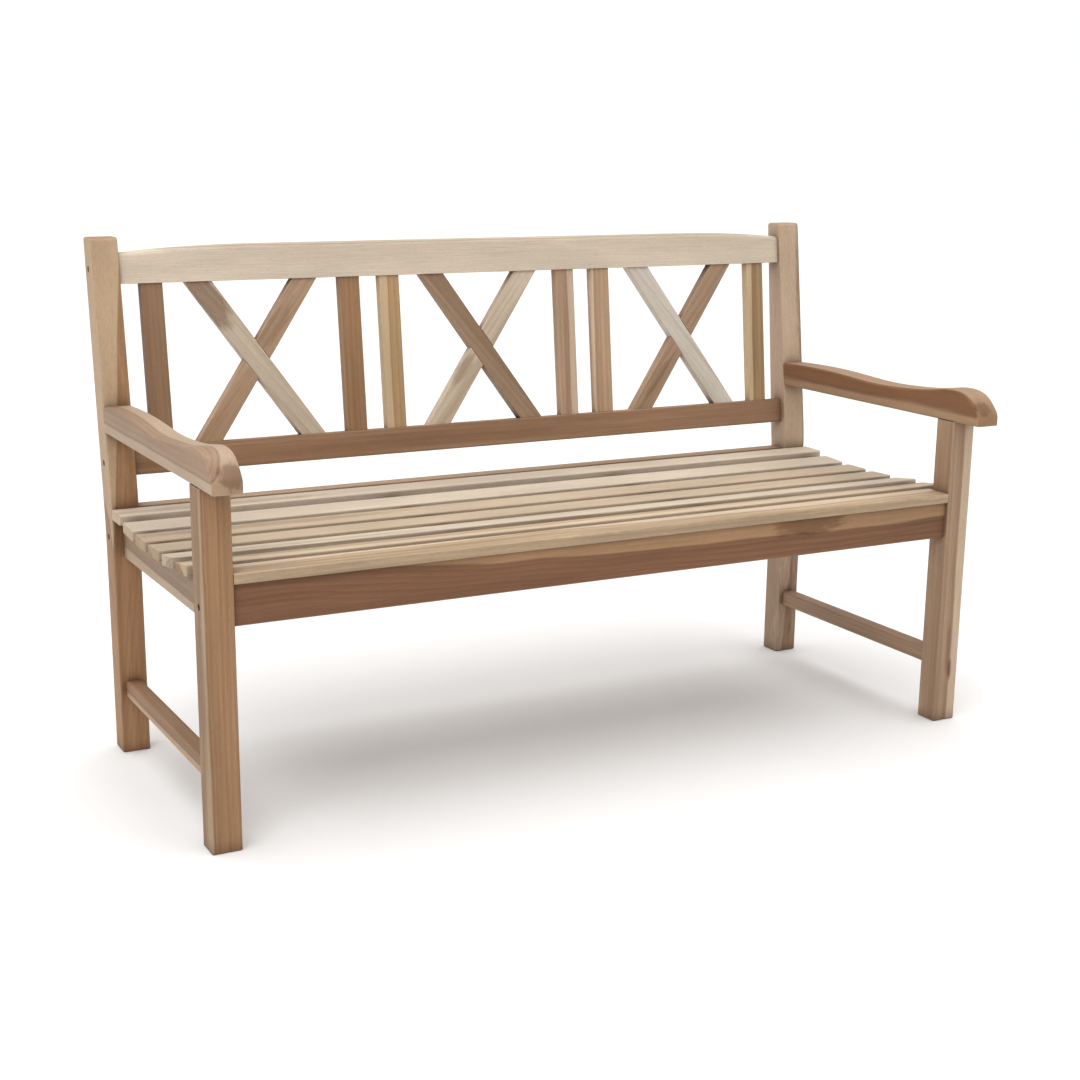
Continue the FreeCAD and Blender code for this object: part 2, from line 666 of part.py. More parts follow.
def build():
    nodes = {}
    pairs = {"front_leg": front_leg, "rear_post": rear_post, "arm": arm, "side_rail": side_rail,
             "side_stretcher": stretcher, "seat_bearer": bearer}
    for name, maker in pairs.items():
        right = maker()
        nodes[name + "_right"] = right
        nodes[name + "_left"] = mirrored(right)
    nodes["front_apron"] = apron()
    nodes["rear_seat_rail"] = rear_seat_rail()
    nodes["lower_back_rail"] = lower_back_rail()
    nodes["top_rail"] = top_rail()
    for number, line in enumerate(SLAT_LINES):
        nodes["seat_slat_%d" % (number + 1)] = seat_slat(line)
    uprights, falling, rising = infill_places()
    for number, place in enumerate(uprights):
        nodes["back_upright_%d" % (number + 1)] = raked(infill(*place))
    for name, fall, rise in zip(("left", "middle", "right"), falling, rising):
        nodes["back_cross_front_" + name] = raked(cross_slat(fall, rise, True))
        nodes["back_cross_rear_" + name] = raked(cross_slat(rise, fall, False))
    nodes["frame_bolts"] = fasteners(bolt)
    nodes["barrel_nuts"] = fasteners(barrel_nut)
    nodes["slat_screws"] = Part.makeCompound([screw(x, l, y) for x, l, y in screw_places()])
    return nodes


def main():
    os.makedirs("parts", exist_ok=True)
    nodes = build()
    for name in sorted(nodes):
        nodes[name].exportStep("parts/%s.step" % name)
        size = nodes[name].BoundBox
        print("%-26s solids %2d  %7.1f %7.1f %7.1f" % (
            name, len(nodes[name].Solids), size.XLength, size.YLength, size.ZLength))


main()
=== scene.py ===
# %% [markdown]
# # A garden bench in bare teak
# The bench is a knock-down design: two glued side frames carry four long rails, and seven slats
# lie across them. Every board is already made at its true size in the CAD model, so this script
# gives each one its own wood, adds detailed fasteners, and sets up the studio.

# %% Load the frame
import math
import bpy
from mathutils import Matrix, Vector


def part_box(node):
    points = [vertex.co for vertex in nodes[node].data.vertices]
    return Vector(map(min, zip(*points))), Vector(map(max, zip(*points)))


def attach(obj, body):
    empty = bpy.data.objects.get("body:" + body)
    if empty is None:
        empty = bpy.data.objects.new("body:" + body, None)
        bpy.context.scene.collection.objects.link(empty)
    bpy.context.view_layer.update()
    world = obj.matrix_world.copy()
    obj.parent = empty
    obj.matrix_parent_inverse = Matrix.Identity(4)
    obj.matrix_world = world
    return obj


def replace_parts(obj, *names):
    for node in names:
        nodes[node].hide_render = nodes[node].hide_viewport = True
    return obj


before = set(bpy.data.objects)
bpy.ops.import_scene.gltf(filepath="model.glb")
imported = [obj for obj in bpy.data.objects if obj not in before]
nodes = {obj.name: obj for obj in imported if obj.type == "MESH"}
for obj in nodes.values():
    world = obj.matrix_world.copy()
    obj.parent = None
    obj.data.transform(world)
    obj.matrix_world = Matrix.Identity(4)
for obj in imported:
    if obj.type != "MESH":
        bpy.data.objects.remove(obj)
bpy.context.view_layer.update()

# %% [markdown]
# ## The camera
# A bench is long and low, so it is seen from above the left arm, turned about 28 degrees, with a
# longish lens that keeps the far end from shrinking too much. The three turns are given as
# yaw, pitch and roll and multiplied in that order, which is easier to reason about than one
# Euler triple. A small lens shift frames the bench without tilting the camera.

# %% Camera
CAMERA_PLACE = (-1.506, -2.765, 1.112)
CAMERA_YAW, CAMERA_PITCH, CAMERA_ROLL = (27.83, -14.48, 0.50)
CAMERA_LENS = 58.3
CAMERA_SHIFT = (0.0110, 0.0365)

camera_data = bpy.data.cameras.new("camera")
camera_data.lens = CAMERA_LENS
camera_data.sensor_width = 36.0
camera_data.shift_x, camera_data.shift_y = CAMERA_SHIFT
camera = bpy.data.objects.new("camera", camera_data)
bpy.context.scene.collection.objects.link(camera)
turn = (Matrix.Rotation(math.radians(-CAMERA_YAW), 4, "Z")
        @ Matrix.Rotation(math.radians(90 + CAMERA_PITCH), 4, "X")
        @ Matrix.Rotation(math.radians(CAMERA_ROLL), 4, "Z"))
camera.matrix_world = Matrix.Translation(CAMERA_PLACE) @ turn
bpy.context.scene.camera = camera
print("camera looks along", tuple(round(v, 3) for v in turn @ Vector((0, 0, -1))))

# %% [markdown]
# ## Building node trees
# A shader tree is a long list of small steps, so one helper adds a node, sets its properties and
# fills its inputs: a socket is linked, anything else becomes the input's own value. Node groups
# get their named sockets from `interface.new_socket`, which is how Blender 4.5 makes them.

# %% Node helpers
def add(tree, kind, *inputs, **settings):
    """Adds a node; inputs are given in order, None leaves an input alone."""
    node = tree.nodes.new("ShaderNode" + kind)
    for name, value in settings.items():
        setattr(node, name, value)
    for number, value in enumerate(inputs):
        if isinstance(value, bpy.types.NodeSocket):
            tree.links.new(value, node.inputs[number])
        elif value is not None:
            node.inputs[number].default_value = value
    return node


def maths(tree, operation, *values, clamp=False):
    return add(tree, "Math", *values, operation=operation, use_clamp=clamp).outputs[0]


def vectors(tree, operation, *values):
    node = add(tree, "VectorMath", *values, operation=operation)
    return node.outputs["Value"] if operation in ("LENGTH", "DOT_PRODUCT") else node.outputs[0]


def spread(tree, value):
    """The same number along all three axes."""
    return add(tree, "CombineXYZ", value, value, value).outputs[0]


def smooth_step(tree, value, low, high, start=0.0, end=1.0):
    """Goes smoothly from start to end while the value goes from low to high."""
    node = add(tree, "MapRange", interpolation_type="SMOOTHSTEP")
    for name, item in zip(("Value", "From Min", "From Max", "To Min", "To Max"),
                          (value, low, high, start, end)):
        if isinstance(item, bpy.types.NodeSocket):
            tree.links.new(item, node.inputs[name])
        else:
            node.inputs[name].default_value = item
    return node.outputs["Result"]


def noise(tree, place, detail=2.0, roughness=0.5):
    node = add(tree, "TexNoise", noise_dimensions="3D")
    tree.links.new(place, node.inputs["Vector"])
    node.inputs["Scale"].default_value = 1.0
    node.inputs["Detail"].default_value = detail
    node.inputs["Roughness"].default_value = roughness
    return node


def mixed(tree, factor, first, second, blend="MIX"):
    """A colour mix: 0 gives the first colour, 1 the second."""
    node = add(tree, "Mix", data_type="RGBA", blend_type=blend)
    for socket, item in zip((node.inputs[0], node.inputs[6], node.inputs[7]), (factor, first, second)):
        if isinstance(item, bpy.types.NodeSocket):
            tree.links.new(item, socket)
        else:
            socket.default_value = item
    return node.outputs[2]


def new_group(name, inputs, outputs):
    """A shader node group; inputs and outputs are (name, type, default) and (name, type)."""
    group = bpy.data.node_groups.new(name, "ShaderNodeTree")
    for title, kind, default in inputs:
        socket = group.interface.new_socket(title, in_out="INPUT", socket_type="NodeSocket" + kind)
        if default is not None:
            socket.default_value = default
    for title, kind in outputs:
        group.interface.new_socket(title, in_out="OUTPUT", socket_type="NodeSocket" + kind)
    return group, group.nodes.new("NodeGroupInput").outputs, group.nodes.new("NodeGroupOutput").inputs


def place_group(tree, group, **inputs):
    """Places a group in a tree; an underscore in a name stands for a space."""
    node = tree.nodes.new("ShaderNodeGroup")
    node.node_tree = group
    for title, value in inputs.items():
        socket = node.inputs[title.replace("_", " ")]
        if isinstance(value, bpy.types.NodeSocket):
            tree.links.new(value, socket)
        else:
            socket.default_value = value
    return node.outputs


# %% [markdown]
# ## Growth rings
# A board is cut out of a trunk, so its figure is a slice through nested cylinders. The group
# below measures how far a point is from the pith, lets that distance wander slowly along the
# grain, and turns it into rings that darken towards their outer edge. Because it is a solid
# pattern, wide faces get cathedrals, narrow faces get lines and the ends get arcs, all from the
# same cylinders, with no seams where faces meet. Beyond the sap radius the wood is pale sapwood.

# %% Growth rings group
rings, given, out = new_group(
    "Growth rings",
    [("Board", "Vector", None), ("Pith", "Vector", None), ("Lean", "Vector", None),
     ("Sway", "Float", 0.010), ("Spacing", "Float", 0.006), ("Sap radius", "Float", 0.2),
     ("Sap edge", "Float", 0.004), ("Seed", "Float", 0.0)],
    [("Late", "Float"), ("Ring", "Float"), ("Sap", "Float")])
shift = vectors(rings, "MULTIPLY", spread(rings, given["Seed"]), (7.31, 3.17, 5.53))
slow = vectors(rings, "ADD", vectors(rings, "MULTIPLY", given["Board"], (1.7, 5.0, 5.0)), shift)
wander = vectors(rings, "SUBTRACT", noise(rings, slow, 2.0, 0.45).outputs["Color"], (0.5, 0.5, 0.5))
along = add(rings, "SeparateXYZ", given["Board"]).outputs[0]
leaning = vectors(rings, "MULTIPLY", spread(rings, along), given["Lean"])
sway_across = add(rings, "CombineXYZ", 0.0, given["Sway"], given["Sway"]).outputs[0]
swaying = vectors(rings, "MULTIPLY", wander, sway_across)
from_pith = vectors(rings, "SUBTRACT", vectors(rings, "ADD", given["Board"], swaying),
                    vectors(rings, "ADD", given["Pith"], leaning))
radius = vectors(rings, "LENGTH", vectors(rings, "MULTIPLY", from_pith, (0.0, 1.0, 1.0)))
fine = vectors(rings, "ADD", vectors(rings, "MULTIPLY", given["Board"], (5.0, 60.0, 60.0)), shift)
ripple = maths(rings, "SUBTRACT", noise(rings, fine, 2.0).outputs[0], 0.5)
count = maths(rings, "ADD", maths(rings, "DIVIDE", radius, given["Spacing"]),
              maths(rings, "MULTIPLY", ripple, 0.55))
part_of_ring = maths(rings, "FRACT", count)
darkening = smooth_step(rings, part_of_ring, 0.10, 0.86)
ending = smooth_step(rings, part_of_ring, 0.86, 1.0, 1.0, 0.0)
rings.links.new(maths(rings, "MULTIPLY", darkening, ending), out["Late"])
whole_ring = maths(rings, "FLOOR", count)
ring_number = maths(rings, "ADD", whole_ring, given["Seed"])
rings.links.new(add(rings, "TexWhiteNoise", None, ring_number, noise_dimensions="1D").outputs[0], out["Ring"])
sap_radius = maths(rings, "ADD", radius, maths(rings, "MULTIPLY", ripple, 0.006))
low_edge = maths(rings, "SUBTRACT", given["Sap radius"], given["Sap edge"])
high_edge = maths(rings, "ADD", given["Sap radius"], given["Sap edge"])
rings.links.new(smooth_step(rings, sap_radius, low_edge, high_edge), out["Sap"])
print("growth rings group:", len(rings.nodes), "nodes")

# %% [markdown]
# ## Fibres and pores
# Up close, teak shows fine silky fibres and long open pores like pencil dashes. Both are noises
# squeezed hard across the grain, so each speck becomes a streak a few centimetres long. The
# streaks and the bands are wider, slower versions of the same: a streak is a pencil wide, a band a
# finger wide and nearly as long as the board.

# %% Fibres and pores group
fibres, given, out = new_group(
    "Fibres and pores",
    [("Board", "Vector", None), ("Seed", "Float", 0.0)],
    [("Fibre", "Float"), ("Pore", "Float"), ("Streak", "Float"), ("Band", "Float"), ("Blotch", "Float")])
shift = vectors(fibres, "MULTIPLY", spread(fibres, given["Seed"]), (2.71, 8.13, 4.47))


def stretched(scale):
    """A place on the board, scaled along and across the grain and shifted by the seed."""
    return vectors(fibres, "ADD", vectors(fibres, "MULTIPLY", given["Board"], scale), shift)


fibres.links.new(noise(fibres, stretched((14.0, 650.0, 650.0)), 3.0, 0.6).outputs[0], out["Fibre"])
dashes = add(fibres, "TexVoronoi", stretched((75.0, 1300.0, 1300.0)), voronoi_dimensions="3D")
dashes.inputs["Scale"].default_value = 1.0
fibres.links.new(smooth_step(fibres, dashes.outputs["Distance"], 0.16, 0.34, 1.0, 0.0), out["Pore"])
fibres.links.new(noise(fibres, stretched((1.6, 85.0, 85.0)), 3.0, 0.55).outputs[0], out["Streak"])
fibres.links.new(noise(fibres, stretched((0.9, 36.0, 36.0)), 2.0, 0.5).outputs[0], out["Band"])
fibres.links.new(noise(fibres, stretched((3.2, 14.0, 14.0)), 2.0, 0.5).outputs[0], out["Blotch"])
print("fibres and pores group:", len(fibres.nodes), "nodes")

# %% [markdown]
# ## Arrises and end grain
# Sanding breaks every sharp edge and leaves it a little paler and smoother. A Bevel node looks
# at the faces round a point, so where its normal differs from the real one there is an edge. The
# end grain drinks light: its mask is how far the surface faces along the board.

# %% Sanded edge group
sanded, given, out = new_group(
    "Sanded edge", [("Reach", "Float", 0.003)], [("Edge", "Float")])
rounded = add(sanded, "Bevel", given["Reach"], samples=4).outputs[0]
flat = add(sanded, "NewGeometry").outputs["Normal"]
likeness = vectors(sanded, "DOT_PRODUCT", rounded, flat)
sanded.links.new(smooth_step(sanded, likeness, 0.90, 0.995, 1.0, 0.0), out["Edge"])

ends, given, out = new_group(
    "End grain", [("Along", "Vector", (1.0, 0.0, 0.0))], [("End", "Float")])
surface = add(ends, "NewGeometry").outputs["Normal"]
facing = maths(ends, "ABSOLUTE", vectors(ends, "DOT_PRODUCT", surface, given["Along"]))
ends.links.new(smooth_step(ends, facing, 0.45, 0.9), out["End"])

# %% [markdown]
# ## Painted corner shade
# Shade falls where boards meet and between the slats, and here it is painted into the wood's colour as
# painted shade. Each joint could have a dark patch painted on by hand, but an Ambient Occlusion node
# finds them all: it measures how much of the open air a point sees within a few centimetres.

# %% Painted corner shade group
corners, given, out = new_group(
    "Painted corner shade", [("Reach", "Float", 0.04)], [("Corner", "Float")])
openness = add(corners, "AmbientOcclusion", samples=6)
corners.links.new(given["Reach"], openness.inputs["Distance"])
corners.links.new(smooth_step(corners, openness.outputs["AO"], 0.30, 0.92, 1.0, 0.0), out["Corner"])
print("edge, end and corner groups:", len(sanded.nodes), len(ends.nodes), len(corners.nodes), "nodes")

# %% [markdown]
# ## Teak
# The board group puts the layers in order: heartwood darkened by its rings and bands, sapwood laid
# over it by its mask with a thin dark line where the two meet, then blotches, fibres and pores on
# both, and the ends, edges and painted shade in the corners last. Roughness and height come from
# the same masks, so a dark pore is also a small groove.

# %% Teak group
EDGE_REACH = 0.003
# How far the painted shade in corners and gaps looks for nearby surfaces.
CORNER_SHADE_REACH = 0.04
PORE_BROWN = (0.09, 0.05, 0.03, 1.0)
END_GRAIN_TINT = (0.82, 0.74, 0.68, 1.0)
SANDED_PALE = (0.80, 0.68, 0.54, 1.0)
# The colour that corners and gaps are multiplied by as painted shade.
CORNER_SHADE_TINT = (0.40, 0.34, 0.30, 1.0)

teak, given, out = new_group(
    "Teak",
    [("Board", "Vector", None), ("Along", "Vector", (1.0, 0.0, 0.0)), ("Pith", "Vector", None),
     ("Lean", "Vector", None), ("Sway", "Float", 0.010), ("Spacing", "Float", 0.006),
     ("Sap radius", "Float", 0.2), ("Sap edge", "Float", 0.004), ("Heart", "Color", None),
     ("Late wood", "Color", None), ("Sapwood", "Color", None), ("Figure", "Float", 0.5),
     ("Streaks", "Float", 0.5), ("Bands", "Float", 0.5), ("Seed", "Float", 0.0)],
    [("Color", "Color"), ("Roughness", "Float"), ("Height", "Float")])
ring = place_group(teak, rings, Board=given["Board"], Pith=given["Pith"], Lean=given["Lean"],
                   Sway=given["Sway"], Spacing=given["Spacing"], Sap_radius=given["Sap radius"],
                   Sap_edge=given["Sap edge"], Seed=given["Seed"])
fibre = place_group(teak, fibres, Board=given["Board"], Seed=given["Seed"])
end = place_group(teak, ends, Along=given["Along"])["End"]
edge = place_group(teak, sanded, Reach=EDGE_REACH)["Edge"]
corner = place_group(teak, corners, Reach=CORNER_SHADE_REACH)["Corner"]


def weaker(mask, share):
    """A mask at a share of its strength."""
    return maths(teak, "MULTIPLY", mask, share)


late = weaker(ring["Late"], weaker(smooth_step(teak, ring["Ring"], 0.0, 1.0, 0.45, 1.0), given["Figure"]))
heart = mixed(teak, late, given["Heart"], given["Late wood"])
streak = weaker(smooth_step(teak, fibre["Streak"], 0.50, 0.74), given["Streaks"])
heart = mixed(teak, streak, heart, given["Late wood"])
band = weaker(smooth_step(teak, fibre["Band"], 0.48, 0.64), given["Bands"])
heart = mixed(teak, band, heart, given["Late wood"])
sap = mixed(teak, weaker(late, 0.28), given["Sapwood"], given["Heart"])
sap_streak = weaker(smooth_step(teak, fibre["Streak"], 0.52, 0.80), 0.30)
sap = mixed(teak, sap_streak, sap, given["Heart"])
wood = mixed(teak, ring["Sap"], heart, sap)
meeting = weaker(ring["Sap"], maths(teak, "SUBTRACT", 1.0, ring["Sap"]))
wood = mixed(teak, maths(teak, "MULTIPLY", meeting, 2.4, clamp=True), wood, given["Late wood"])


def lit(base, low, high, mask):
    """Multiplies a colour by a grey that follows the mask."""
    grey = smooth_step(teak, mask, 0.25, 0.75, low, high)
    return mixed(teak, 1.0, base, add(teak, "CombineColor", grey, grey, grey).outputs[0], "MULTIPLY")


wood = lit(wood, 0.90, 1.08, fibre["Blotch"])
wood = lit(wood, 0.90, 1.08, fibre["Fibre"])
pore = weaker(fibre["Pore"], maths(teak, "SUBTRACT", 1.0, weaker(ring["Late"], 0.7)))
wood = mixed(teak, weaker(pore, 0.32), wood, PORE_BROWN)
end_wood = mixed(teak, 1.0, wood, END_GRAIN_TINT, "MULTIPLY")
wood = mixed(teak, end, wood, end_wood)
pale_edge = mixed(teak, 0.35, wood, SANDED_PALE)
wood = mixed(teak, weaker(edge, 0.45), wood, pale_edge)
# Painted shade: the wood is darkened wherever the Ambient Occlusion mask sees little open air, in corners and
# gaps.
painted_shade_wood = mixed(teak, 1.0, wood, CORNER_SHADE_TINT, "MULTIPLY")
teak.links.new(mixed(teak, corner, wood, painted_shade_wood), out["Color"])

silky = smooth_step(teak, fibre["Fibre"], 0.3, 0.7, 0.50, 0.62)
rough = maths(teak, "ADD", maths(teak, "ADD", silky, weaker(pore, 0.2)), weaker(end, 0.14))
teak.links.new(maths(teak, "SUBTRACT", rough, weaker(edge, 0.06)), out["Roughness"])
height = maths(teak, "SUBTRACT", weaker(fibre["Fibre"], 0.45), weaker(pore, 0.55))
teak.links.new(maths(teak, "ADD", height, weaker(ring["Late"], 0.25)), out["Height"])
print("teak group:", len(teak.nodes), "nodes")

# %% [markdown]
# ## Patches and knots
# A few boards carry a darker patch, or the streak left by a small knot. Either is an oval stretched
# along the grain with a ragged edge, so one group makes both: it measures how far a point is from
# the middle of the oval, in ovals, and a noise frays the result.

# %% Patch group
patches, given, out = new_group(
    "Brown patch",
    [("Board", "Vector", None), ("Place", "Vector", None), ("Size", "Vector", (0.02, 0.02, 0.02))],
    [("Patch", "Float")])
from_middle = vectors(patches, "SUBTRACT", given["Board"], given["Place"])
ovals = vectors(patches, "LENGTH", vectors(patches, "DIVIDE", from_middle, given["Size"]))
ragged = noise(patches, vectors(patches, "MULTIPLY", given["Board"], (30.0, 140.0, 140.0)), 3.0)
frayed = maths(patches, "ADD", ovals, maths(patches, "SUBTRACT", ragged.outputs[0], 0.5))
patches.links.new(smooth_step(patches, frayed, 0.55, 1.05, 1.0, 0.0), out["Patch"])
print("patch group:", len(patches.nodes), "nodes")

# %% [markdown]
# ## The woods
# Bare teak is never one colour: heartwood runs from honey to chocolate, sapwood from bone to
# straw. The sawmill mixes them, so each board takes a heart colour, the darker colour of its late
# wood and a sapwood colour from this rack. Colours are written as a painter's 0-255 values and
# turned into linear light, which is what the shader works in.

# %% Wood colours
def paint(red, green, blue):
    shares = [value / 255 for value in (red, green, blue)]
    return (*(share / 12.92 if share < 0.04045 else ((share + 0.055) / 1.055) ** 2.4
              for share in shares), 1.0)


WOODS = {
    # name: heartwood, late wood, sapwood
    "chestnut": (paint(122, 85, 60), paint(94, 61, 39), paint(157, 122, 88)),
    "cinnamon": (paint(138, 98, 67), paint(106, 70, 45), paint(160, 131, 103)),
    "umber": (paint(147, 115, 88), paint(113, 82, 58), paint(176, 145, 113)),
    "tan": (paint(156, 120, 87), paint(122, 87, 57), paint(170, 145, 117)),
    "dun": (paint(154, 128, 104), paint(120, 93, 71), paint(172, 150, 127)),
    "olive": (paint(166, 137, 100), paint(130, 102, 68), paint(190, 167, 133)),
    "honey": (paint(179, 148, 108), paint(142, 106, 67), paint(196, 171, 137)),
    "rose": (paint(176, 148, 121), paint(140, 107, 81), paint(194, 171, 147)),
    "straw": (paint(178, 156, 128), paint(142, 116, 87), paint(192, 173, 148)),
    "bone": (paint(195, 179, 159), paint(162, 139, 114), paint(205, 190, 170)),
    "ash": (paint(190, 182, 171), paint(158, 142, 122), paint(200, 193, 182)),
}
print("woods on the rack:", ", ".join(WOODS))

# %% [markdown]
# ## One material for each board
# Each board's material reads Object coordinates through a Mapping node that moves them to the
# middle of the board and turns them so that X runs along the grain, Y across the width and Z out
# of the face. The pith lies somewhere off the board, and that one choice decides the figure. One
# material for all the boards would be shorter, but then the grain would run straight on from one
# board into the next, which no joiner could do. Places and sizes on a board are in millimetres.

# %% Board material
def turned(along, face):
    """The turn whose X axis is the grain and whose Z axis is the face of the board."""
    grain = Vector(along).normalized()
    across = Vector(face).cross(grain).normalized()
    outward = grain.cross(across)
    return Matrix((grain, across, outward)).transposed()


USUAL_LOOK = {"lift": 1.0, "lean": (0.0, 0.0), "sway": 0.012, "spacing": 0.009, "sap_edge": 0.003,
              "figure": 0.4, "streaks": 0.4, "bands": 0.5, "patches": ()}
PATCH_TINT = (0.42, 0.32, 0.25, 1.0)
GROOVE_DEPTH = 0.0004


def board_material(name, along, face, wood_name, pith, sap_radius, seed, **own_look):
    """Gives a board its own cut of teak; own_look is what differs from the usual look."""
    look = {**USUAL_LOOK, **own_look}
    material = bpy.data.materials.new(name)
    material.use_nodes = True
    tree = material.node_tree
    shader = tree.nodes["Principled BSDF"]
    low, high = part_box(name)
    turn = turned(along, face)
    mapping = add(tree, "Mapping", tree.nodes.new("ShaderNodeTexCoord").outputs["Object"],
                  tuple((low + high) / 2), tuple(turn.to_euler()), vector_type="TEXTURE")
    heart, late_wood, sapwood = ((*(part * look["lift"] for part in colour[:3]), 1.0)
                                 for colour in WOODS[wood_name])
    wood = place_group(
        tree, teak, Board=mapping.outputs[0], Along=tuple(turn.col[0]),
        Pith=(0.0, pith[0] / 1000, pith[1] / 1000), Lean=(0.0, *look["lean"]), Sway=look["sway"],
        Spacing=look["spacing"], Sap_radius=sap_radius / 1000, Sap_edge=look["sap_edge"],
        Heart=heart, Late_wood=late_wood, Sapwood=sapwood, Figure=look["figure"],
        Streaks=look["streaks"], Bands=look["bands"], Seed=seed)
    colour = wood["Color"]
    for place, size, strength in look["patches"]:
        patch = place_group(tree, patches, Board=mapping.outputs[0], Place=tuple(v / 1000 for v in place),
                            Size=tuple(v / 1000 for v in size))["Patch"]
        brown = mixed(tree, 1.0, colour, PATCH_TINT, "MULTIPLY")
        colour = mixed(tree, maths(tree, "MULTIPLY", patch, strength), colour, brown)
    tree.links.new(colour, shader.inputs["Base Color"])
    tree.links.new(wood["Roughness"], shader.inputs["Roughness"])
    bump = tree.nodes.new("ShaderNodeBump")
    bump.inputs["Strength"].default_value = 0.6
    bump.inputs["Distance"].default_value = GROOVE_DEPTH
    tree.links.new(wood["Height"], bump.inputs["Height"])
    tree.links.new(bump.outputs[0], shader.inputs["Normal"])
    shader.inputs["Specular IOR Level"].default_value = 0.25
    board = nodes[name]
    board.data.materials.clear()
    board.data.materials.append(material)


X, Y, Z, FRONT, UP = ((1, 0, 0), (0, 1, 0), (0, 0, 1), (0, -1, 0), (0, 0, 1))
LEFT, RIGHT = ((-1, 0, 0), (1, 0, 0))

# %% [markdown]
# ## The side frames
# Legs, posts, arms, side rails and stretchers. Most of them carry a strip of sapwood along one
# edge: the pith is put on the far side of the board and the sap radius ends just inside it. The
# strip could be painted on as a stripe, but then it would not turn the corner into the next face
# and show its arc in the end grain. A pith that leans gives a strip that widens along the board.

# %% Side frames
board_material("front_leg_left", Z, FRONT, "tan", (-160, -10), 184, seed=1.3, lift=0.92)
board_material("front_leg_right", Z, FRONT, "dun", (160, -30), 172, seed=2.1, lift=1.24,
               patches=(((-205, -6, 24), (26, 5, 12), 0.9), ((-160, 2, 24), (60, 7, 12), 0.35)))
board_material("rear_post_left", Z, FRONT, "tan", (-150, -10), 173, seed=3.7, lift=1.1, lean=(-0.12, 0.0))
board_material("rear_post_right", Z, FRONT, "dun", (-150, -20), 146, seed=4.2, lift=1.16, lean=(-0.06, 0.0),
               patches=(((-330, 0, 0), (230, 70, 70), 0.45), ((300, -27, 0), (260, 15, 60), 0.6)))
board_material("arm_left", Y, UP, "dun", (60, 40), 61, seed=5.4, lift=0.98, sway=0.006,
               patches=(((-308, -9, -2), (30, 24, 28), 0.65),))
board_material("arm_right", Y, UP, "cinnamon", (85, 8), 62.5, seed=6.6, sway=0.006,
               patches=(((-308, 6, 4), (26, 24, 18), 0.55),))
board_material("side_rail_left", Y, LEFT, "dun", (-100, -80), 150, seed=7.1)
board_material("side_rail_right", Y, RIGHT, "tan", (-100, -80), 150, seed=8.9)
board_material("side_stretcher_left", Y, LEFT, "umber", (-120, -60), 142, seed=9.2)
board_material("side_stretcher_right", Y, RIGHT, "dun", (120, -60), 190, seed=10.4, lift=1.14)
board_material("seat_bearer_left", Y, LEFT, "tan", (-100, -80), 150, seed=11.5)
board_material("seat_bearer_right", Y, RIGHT, "tan", (-100, -80), 150, seed=12.8)

# %% [markdown]
# ## The long rails
# The front apron is dark heartwood that ends in a pale wave of sapwood along its top, broken by a
# brown swell near the right leg. The wave is the pith's own slow sway, made larger here than on
# the other boards; a drawn curve would look just as good from the front and wrong from below. The
# top rail of the back is nearly all sapwood, and the lower one is plain brown heartwood.

# %% Long rails
board_material("front_apron", X, FRONT, "chestnut", (-170, -30), 193, seed=13.1, sway=0.09, lean=(-0.03, 0.0),
               sap_edge=0.004, bands=0.3, patches=(((385, 24, 10), (95, 27, 18), 0.75),))
board_material("rear_seat_rail", X, FRONT, "rose", (-170, -30), 230, seed=14.6)
board_material("lower_back_rail", X, FRONT, "umber", (-120, -60), 260, seed=15.2, lift=1.07)
board_material("top_rail", X, FRONT, "bone", (140, -60), 130, seed=16.9, lift=0.95)

# %% [markdown]
# ## The seat slats
# Seven slats, sawn flat, so the pith is under the face and the figure runs in long flames. A loop
# gives them all one recipe, with the pith towards the front and towards the back by turns, because
# slats get mixed between the saw and the bench. Some carry a brown patch.

# %% Seat slats
SLAT_WOODS = (("straw", 0.97), ("straw", 1.03), ("bone", 0.87), ("straw", 0.87), ("straw", 0.9),
              ("bone", 0.93), ("bone", 0.95))
SLAT_BROWNS = {1: (((0, -34, -6), (1400, 12, 18), 0.22),), 3: (((-470, -12, 9), (260, 14, 14), 0.3),),
               5: (((-520, 8, 9), (300, 18, 14), 0.4),), 7: (((-560, -8, 9), (240, 16, 14), 0.35),)}
for number, (wood_name, lift) in enumerate(SLAT_WOODS, start=1):
    side = -1 if number % 2 else 1
    board_material(f"seat_slat_{number}", X, UP, wood_name, (side * 70, -110 - 9 * number), 150,
                   seed=20.0 + 1.37 * number, sway=0.03, lift=lift, spacing=0.012, bands=0.8,
                   patches=SLAT_BROWNS.get(number, ()))

# %% [markdown]
# ## The back
# Six uprights and three crosses stand in the raked plane of the back. Their grain runs along their
# own length, and for a bar of a cross that direction is worked out from its box: its rise up the
# rake and its run to the side. Typing twelve angles would do as well, but a box can't be mistyped.

# %% Back infill
RAKE = math.radians(6.43)
RAKE_UP = (0, math.sin(RAKE), math.cos(RAKE))
RAKE_FRONT = (0, -math.cos(RAKE), math.sin(RAKE))
UPRIGHTS = (("umber", 0.94, (-140, -40), 300), ("tan", 0.92, (120, -50), 300),
            ("honey", 0.97, (-120, -20), 127), ("rose", 0.94, (150, -30), 158),
            ("rose", 1.12, (-140, -60), 170), ("olive", 0.96, (-130, -30), 143))
for number, (wood_name, lift, pith, sap_radius) in enumerate(UPRIGHTS, start=1):
    board_material(f"back_upright_{number}", RAKE_UP, RAKE_FRONT, wood_name, pith, sap_radius,
                   seed=40.0 + 2.13 * number, lift=lift)

